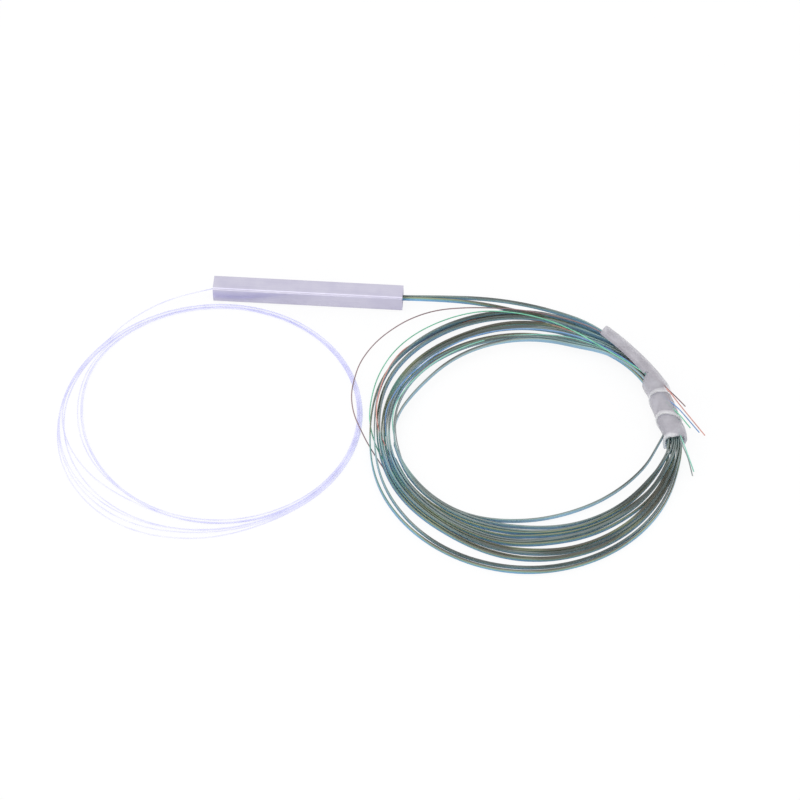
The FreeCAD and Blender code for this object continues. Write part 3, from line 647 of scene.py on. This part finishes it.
# %% [markdown]
# ## The spiral wrap
# Spiral wrap is a polyethylene tube cut along a helix. Cutting a bent tube with a
# Boolean would leave its open tail stuck to the bunch. Unrolled flat the wrap is a long
# strip that winds at a steady pitch and then bends into the tail. So it starts as a grid,
# its rows are laid along that line, and each corner is then bent round the bunch. A
# Solidify modifier gives the wall, with the wall inside the drawn skin.
# %% Spiral wrap
WRAP_BEND = 4.0
WRAP_GAP = 0.05
WRAP_LEAN = 2.0
LEAN_ENDS, LEAN_FALL = 18, 7
TAIL_STRIP = 13.7
# the wound part, in turns from the wrap's start
STRIP_FIRST, STRIP_LAST = -0.35, 1.945
TURN_STEPS, TAIL_STEPS = 120, 16
STRIP_COLUMNS = 22
# how far each edge stands proud or tucks in, and from which share of the half width
LIP_PROUD, PROUD_FROM = 0.16, 0.55
LIP_TUCK, TUCK_FROM = 0.1, 0.6
TABLE_GAP = 0.05
WRAP_MIDDLE = WRAP_OUTER - WRAP_WALL / 2
WRAP_GIRTH = 2 * math.pi * WRAP_MIDDLE
# a point on the trimmed end, and the way that its cut faces
WRAP_CUT = (Vector((77.8, -35.4, 0.0)) * MM, (-0.332, 0.943, 0.0))
TOP_OF_WRAP = Vector((77.5, -34, 5)) * MM
RIM_RADIUS = 0.08
RIM_ANGLE = 50


def strip_line():
    """Stations down the strip unrolled flat: (along, round, heading, shear)."""
    heading = -math.atan2(WRAP_GIRTH, WRAP_PITCH)
    shear = WRAP_PITCH / WRAP_GIRTH
    line = []
    for step in range(TURN_STEPS + 1):
        turn = STRIP_FIRST + (STRIP_LAST - STRIP_FIRST) * step / TURN_STEPS
        line.append((WRAP_PITCH * (turn + 0.5), WRAP_GIRTH * (0.25 - turn),
                     heading, shear))
    along, round_it = line[-1][:2]
    for step in range(1, TAIL_STEPS + 1):
        left = 1 - step / TAIL_STEPS
        angle = heading * left
        line.append((along + WRAP_BEND * (math.sin(angle) - math.sin(heading)),
                     round_it - WRAP_BEND * (math.cos(angle) - math.cos(heading)),
                     angle, shear * left))
    along, round_it = line[-1][:2]
    for step in range(1, TAIL_STEPS + 1):
        line.append((along + TAIL_STRIP * step / TAIL_STEPS, round_it, 0.0, 0.0))
    return line


def wrap_skin():
    """The strip's outer skin: a grid laid along its line and bent round the bunch."""
    line = strip_line()
    half = (WRAP_PITCH * math.cos(math.atan2(WRAP_PITCH, WRAP_GIRTH)) - WRAP_GAP) / 2
    shape = bmesh.new()
    bmesh.ops.create_grid(shape, x_segments=STRIP_COLUMNS, y_segments=len(line) - 1,
                          size=1.0)
    uv = shape.loops.layers.uv.new("across_and_along")
    for face in shape.faces:
        face.smooth = True
        for loop in face.loops:
            loop[uv].uv = ((loop.vert.co.x + 1) / 2, (loop.vert.co.y + 1) / 2)
    for vert in shape.verts:
        share = vert.co.x
        station = round((vert.co.y + 1) / 2 * (len(line) - 1))
        along, round_it, heading, shear = line[station]
        along += share * half * (shear * math.cos(heading) - math.sin(heading))
        round_it += share * half * (shear * math.sin(heading) + math.cos(heading))
        angle = round_it / WRAP_MIDDLE
        # the lower turns are pushed square to the bunch where they are seen from above
        along -= WRAP_LEAN * math.cos(angle) * smooth((LEAN_ENDS - along) / LEAN_FALL)
        axis, outward = wrap_axis(along)
        # each turn's near edge laps proud, its far edge tucks in under the next
        reach = (WRAP_OUTER
                 + LIP_PROUD * smooth((-share - PROUD_FROM) / (1 - PROUD_FROM))
                 - LIP_TUCK * smooth((share - TUCK_FROM) / (1 - TUCK_FROM)))
        vert.co = (axis + outward * (reach * math.cos(angle))
                   + Vector((0, 0, reach * math.sin(angle)))) * MM
        vert.co.z = max(vert.co.z, TABLE_GAP * MM)
    # the lower end is trimmed square to the bunch
    bmesh.ops.bisect_plane(shape, geom=shape.verts[:] + shape.edges[:] + shape.faces[:],
                           plane_co=WRAP_CUT[0], plane_no=WRAP_CUT[1], clear_inner=True)
    shape.normal_update()
    uppermost = min(shape.faces, key=lambda face: (face.calc_center_median()
                                                   - TOP_OF_WRAP).length)
    if uppermost.normal.z < 0:
        bmesh.ops.reverse_faces(shape, faces=shape.faces)
    mesh = bpy.data.meshes.new("polyethylene_wrap")
    shape.to_mesh(mesh)
    shape.free()
    wrap = bpy.data.objects.new("polyethylene_wrap", mesh)
    bpy.context.scene.collection.objects.link(wrap)
    return wrap


wrap = wrap_skin()
wall = wrap.modifiers.new("wall", "SOLIDIFY")
wall.thickness = WRAP_WALL * MM
wall.offset = -1
rim = wrap.modifiers.new("soft_rim", "BEVEL")
rim.width = RIM_RADIUS * MM
rim.segments = 2
rim.limit_method = "ANGLE"
rim.angle_limit = math.radians(RIM_ANGLE)
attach(wrap, "root")
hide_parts("spiral_wrap")
print("wrap strip faces", len(wrap.data.polygons))

# %% [markdown]
# ## Cords and what they stand for
# A fibre is a fixed length of something flexible, which the mesh alone doesn't say. So
# every free line is hung on the root body with its real length printed, and the solids of
# the frame that it stands for are hidden. Coated fibre is 0.25 mm wide; 0.3 mm is the
# least that can be declared.
STANDS_FOR = {
    "brown_fibre": ("brown_fibre_loop", "fibre_end_brown"),
    "green_fibre": ("green_fibre_loop", "fibre_end_green"),
    "orange_fibre": ("fibre_end_orange",), "blue_fibre": ("fibre_end_blue",),
    "aqua_fibre": ("fibre_end_aqua",), "slate_fibre": ("fibre_end_slate",)}


def declare(piece, length, nodes):
    """Put a line on its body, hide the solids that it stands for and print its length."""
    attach(piece, "root")
    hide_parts(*nodes)
    print(piece.name, "is", round(length, 3), "m long")


for name, piece in singles.items():
    route = SINGLE_ROUTES[name]
    guide = points_along(nurbs_line(name + "_guide", route))
    declare(piece, length_of(guide),
            STANDS_FOR[name])
declare(input_fibre, input_length,
        ("input_fibre_lead", "input_fibre_coil"))
declare(front_ribbon, length_of(front_line),
        ("front_ribbon_lead", "ribbon_coil"))
declare(back_ribbon, length_of(back_line),
        ("back_ribbon_lead",))

# %% [markdown]
# ## Finish: drawn stainless steel
# The housing is a square tube drawn from stainless steel and tumbled satin, so it shines
# softly and in streaks. An image could carry the grain, but a noise stretched along the
# tube needs no file. Drawing leaves a grain about 0.05 mm wide. It is made 0.2 mm wide
# here, so that it shows. Rare small pits are left from handling.
# %% Tube steel
GRAIN_LONG, GRAIN_WIDE = 16.7, 0.2
HAZE_SIZE = 3.85
PIT_SPACING = 2.38
PIT_SHARE = 0.07


def make_steel():
    """Satin metal with a grain along X, a faint haze and a few pits."""
    finish, tree, shader = new_finish("drawn_stainless_steel")
    place = add_node(tree, "ShaderNodeTexCoord").outputs["Object"]
    across = per_metre(GRAIN_WIDE)
    along = add_node(tree, "ShaderNodeMapping", Vector=place,
                     Scale=(per_metre(GRAIN_LONG), across, across))
    grain = add_node(tree, "ShaderNodeTexNoise", Vector=along, Scale=1.0, Detail=4.0,
                     Roughness=0.6)
    haze = add_node(tree, "ShaderNodeTexNoise", Vector=place, Scale=per_metre(HAZE_SIZE),
                    Detail=3.0)
    streaks = add_node(tree, "ShaderNodeValToRGB", Fac=grain,
                       stops=((0.2, "#C6C3D6"), (0.8, "#D5D2E0")))
    dulled = add_node(tree, "ShaderNodeValToRGB", Fac=haze,
                      stops=((0.35, "#DAD7E8"), (0.65, "#FFFFFF")))
    tone = add_node(tree, "ShaderNodeMixRGB", {"blend_type": "MULTIPLY"}, Fac=0.25,
                    Color1=streaks, Color2=dulled)
    # every cell of this pattern has a pit in it, and a few of them are chosen
    pits = add_node(tree, "ShaderNodeTexVoronoi", Vector=place,
                    Scale=per_metre(PIT_SPACING))
    pitted = add_node(tree, "ShaderNodeValToRGB", Fac=pits.outputs["Distance"],
                      stops=((0.02, "#3A3A40"), (0.05, "#FFFFFF")))
    lot = add_node(tree, "ShaderNodeSeparateColor", Color=pits.outputs["Color"])
    chosen = add_node(tree, "ShaderNodeMath", {"operation": "GREATER_THAN"},
                      _0=lot, _1=1 - PIT_SHARE)
    final = add_node(tree, "ShaderNodeMixRGB", {"blend_type": "MULTIPLY"},
                     Fac=chosen, Color1=tone, Color2=pitted)
    tree.links.new(final.outputs[0], shader.inputs["Base Color"])
    shader.inputs["Metallic"].default_value = 1.0
    rough = add_node(tree, "ShaderNodeMapRange", Value=grain, To_Min=0.3, To_Max=0.42)
    tree.links.new(rough.outputs[0], shader.inputs["Roughness"])
    bump = add_node(tree, "ShaderNodeBump", Strength=0.12, Distance=0.02 * MM,
                    Height=grain)
    tree.links.new(bump.outputs[0], shader.inputs["Normal"])
    return finish


def dress(finish, *pieces):
    """Give pieces one finish in all their material slots."""
    for piece in pieces:
        if piece.data.materials:
            for number in range(len(piece.data.materials)):
                piece.data.materials[number] = finish
        else:
            piece.data.materials.append(finish)


def node_objects(*names):
    """The frame's own pieces by name."""
    return [bpy.data.objects[name] for name in names]


STEEL = make_steel()
print("finish", STEEL.name)

# %% [markdown]
# ## Finish: soft and clear plastics, glass
# Silicone is cast, and acrylate is a coating cured on the glass. Each could have a tree
# of its own, but one recipe serves them all: a colour that wanders a little, a satin
# sheen and a fine bump. Only the numbers change. The clear coating also glows a little:
# that is painted light, in place of the light that it passes on.
# %% Plastics and glass
def make_plastic(name, dark, light, gloss, cloud_size, coat=0.0, alpha=1.0, bump=0.1):
    """A moulded or coated plastic or glass; its clouding has a size in millimetres."""
    finish, tree, shader = new_finish(name)
    place = add_node(tree, "ShaderNodeTexCoord").outputs["Object"]
    clouds = add_node(tree, "ShaderNodeTexNoise", Vector=place,
                      Scale=per_metre(cloud_size), Detail=3.0)
    colour = add_node(tree, "ShaderNodeValToRGB", Fac=clouds,
                      stops=((0.35, dark), (0.65, light)))
    tree.links.new(colour.outputs[0], shader.inputs["Base Color"])
    rough = add_node(tree, "ShaderNodeMapRange", Value=clouds, To_Min=gloss - 0.04,
                     To_Max=gloss + 0.06)
    tree.links.new(rough.outputs[0], shader.inputs["Roughness"])
    dents = add_node(tree, "ShaderNodeBump", Strength=bump, Distance=0.03 * MM,
                     Height=clouds)
    tree.links.new(dents.outputs[0], shader.inputs["Normal"])
    shader.inputs["IOR"].default_value = 1.5
    shader.inputs["Coat Weight"].default_value = coat
    shader.inputs["Coat Roughness"].default_value = 0.12
    shader.inputs["Alpha"].default_value = alpha
    return finish


CLEAR = make_plastic("clear_acrylate_coating", "#CBCBEA", "#DCDCF4", 0.25, 4.0,
                     coat=0.3, alpha=0.55)
# painted light: a faint glow stands in for light the clear fibre passes on, so a coil of
# it has hardly any dark side
clear_shader = shader_of(CLEAR)
clear_shader.inputs["Emission Color"].default_value = linear("#E6E6FF")
clear_shader.inputs["Emission Strength"].default_value = 0.17
INKED = {
    "brown_fibre": ("#7A6064", "#94777A"), "green_fibre": ("#62B892", "#80D0AE"),
    "orange_fibre": ("#D08E84", "#E0A79B"), "blue_fibre": ("#5686C0", "#7FA6D4"),
    "aqua_fibre": ("#7CC0AC", "#98D4C2"), "slate_fibre": ("#858C8C", "#9FA6A5")}
for name, (dark, light) in INKED.items():
    dress(make_plastic(name + "_acrylate", dark, light, 0.3, 5.0, coat=0.4),
          singles[name])
dress(CLEAR, input_fibre)
print("inks", len(INKED))

# %% [markdown]
# ## Finish: ribbon
# The four fibres keep their own inks under one clear film, so a ribbon glints in stripes.
# Four materials would need the skin cut in four. One is enough: the UV map's first number
# runs up the ribbon, so bands of colour follow its ribs, with painted shade in the thin
# hollow between them. Slow noises roll the bands up and down and shade the film in
# places.
# %% Ribbon finish
TWIST_SIZE = 26.3
SHADE_SIZE = 14.3


def make_ribbon(name, inks):
    """A ribbon's film over its inks, the lowest first."""
    finish, tree, shader = new_finish(name)
    place = add_node(tree, "ShaderNodeTexCoord").outputs["Object"]
    on_ribbon = add_node(tree, "ShaderNodeUVMap", {"uv_map": "along_ribbon"})
    up = add_node(tree, "ShaderNodeSeparateXYZ", Vector=on_ribbon).outputs["X"]
    stops = []
    for number, ink in enumerate(inks):
        start = number / RIBBON_FIBRES
        stops += [(start + 0.03, ink), (start + 0.22, ink)]
    # a ribbon leans and twists slowly, so its lower fibres show more, here and there
    twist = add_node(tree, "ShaderNodeTexNoise", Vector=place,
                     Scale=per_metre(TWIST_SIZE), Detail=1.0)
    turned = add_node(tree, "ShaderNodeMapRange", Value=twist, From_Min=0.25,
                      From_Max=0.75, To_Min=-0.9, To_Max=0.05)
    rolled = add_node(tree, "ShaderNodeMath", {"operation": "ADD"}, _0=up, _1=turned)
    colour = add_node(tree, "ShaderNodeValToRGB", Fac=rolled, stops=stops)
    wave = add_node(tree, "ShaderNodeMath", {"operation": "MULTIPLY"},
                    _0=up, _1=RIBBON_FIBRES * math.pi)
    ribs = add_node(tree, "ShaderNodeMath", {"operation": "SINE"}, _0=wave)
    depth = add_node(tree, "ShaderNodeMath", {"operation": "ABSOLUTE"}, _0=ribs)
    # painted shade: the ribbon is drawn darker in the hollows between its ribs
    painted_valley_shade = add_node(tree, "ShaderNodeValToRGB", Fac=depth,
                      stops=((0.0, "#C4C4C4"), (0.4, "#FFFFFF")))
    ribbed = add_node(tree, "ShaderNodeMixRGB", {"blend_type": "MULTIPLY"}, Fac=0.8,
                      Color1=colour, Color2=painted_valley_shade)
    slow = add_node(tree, "ShaderNodeTexNoise", Vector=place,
                    Scale=per_metre(SHADE_SIZE), Detail=2.0)
    shade = add_node(tree, "ShaderNodeValToRGB", Fac=slow,
                     stops=((0.3, "#B9BDBB"), (0.7, "#FFFFFF")))
    film = add_node(tree, "ShaderNodeMixRGB", {"blend_type": "MULTIPLY"}, Fac=0.7,
                    Color1=ribbed, Color2=shade)
    tree.links.new(film.outputs[0], shader.inputs["Base Color"])
    shader.inputs["Roughness"].default_value = 0.34
    shader.inputs["IOR"].default_value = 1.5
    shader.inputs["Coat Weight"].default_value = 0.5
    shader.inputs["Coat Roughness"].default_value = 0.15
    return finish


dress(make_ribbon("ribbon_acrylate_warm", ("#74AEDA", "#86BCB0", "#9CA484", "#6F6D60")),
      front_ribbon)
dress(make_ribbon("ribbon_acrylate_cool", ("#93BEDA", "#A2C4C2", "#93A09E", "#5E6866")),
      back_ribbon)
print("finishes", front_ribbon.data.materials[0].name, "and",
      back_ribbon.data.materials[0].name)

# %% [markdown]
# ## Finish: the wrap and the parts inside the tube
# Polyethylene is milky: it hides what it holds but lets its dark shape through. Real
# scattering inside it would be slow and noisy in so thin a wall, so part of the alpha
# does that work. Inside the tube are ground silica, cured adhesive and soft silicone,
# which share the recipe for plastics.
# %% Wrap and inner parts
def paint_wrap_edge_light_and_shade(finish):
    """Paints a highlight along the strip's near edge and a shadow where its far edge
    tucks under.
    """
    tree = finish.node_tree
    shader = shader_of(finish)
    cloudy = shader.inputs["Base Color"].links[0].from_socket
    on_strip = add_node(tree, "ShaderNodeUVMap", {"uv_map": "across_and_along"})
    across = add_node(tree, "ShaderNodeSeparateXYZ", Vector=on_strip).outputs["X"]
    # painted light and shade: a highlight along the near edge, the strip's own tone in
    # the middle, and a shadow along the far edge where it tucks under the next turn
    edge = add_node(tree, "ShaderNodeValToRGB", Fac=across,
                    stops=((0.0, "#FFFFFF"), (0.12, "#F4F2F6"), (0.18, "#D2CFD6"),
                           (0.88, "#D2CFD6"), (1.0, "#BAB8C2")))
    mixed = add_node(tree, "ShaderNodeMixRGB", {"blend_type": "MULTIPLY"}, Fac=1.0,
                     Color1=cloudy, Color2=edge)
    tree.links.new(mixed.outputs[0], shader.inputs["Base Color"])
    return finish


MILKY = make_plastic("milky_polyethylene", "#DEDDE0", "#F3F3F5", 0.38, 2.4, coat=0.2,
                     alpha=0.66, bump=0.2)
dress(paint_wrap_edge_light_and_shade(MILKY), wrap)
dress(STEEL, *node_objects("metal_tube"))
dress(make_plastic("silicone_seal", "#B9B6C2", "#CFCCD8", 0.55, 0.8),
      *node_objects("input_end_seal", "output_end_seal"))
dress(make_plastic("silicone_cushion_gel", "#D2D2D8", "#E4E4EA", 0.5, 1.0),
      *node_objects("input_cushion", "output_cushion"))
dress(make_plastic("ground_silica", "#E6EBF0", "#F4F8FB", 0.2, 0.5, coat=0.3),
      *node_objects("splitter_chip", "input_cover_glass", "output_cover_glass",
                    "input_groove_block", "output_groove_block", "input_groove_lid",
                    "output_groove_lid", "input_bare_glass", "output_bare_glass"))
dress(make_plastic("cured_adhesive", "#E0DAC2", "#EDE8D6", 0.25, 0.6, coat=0.3),
      *node_objects("input_fibre_bond", "output_ribbon_bond"))
dress(CLEAR, *node_objects("input_fibre_root"))
dress(front_ribbon.data.materials[0], *node_objects("front_ribbon_root"))
dress(back_ribbon.data.materials[0], *node_objects("back_ribbon_root"))
print("materials", len(bpy.data.materials))
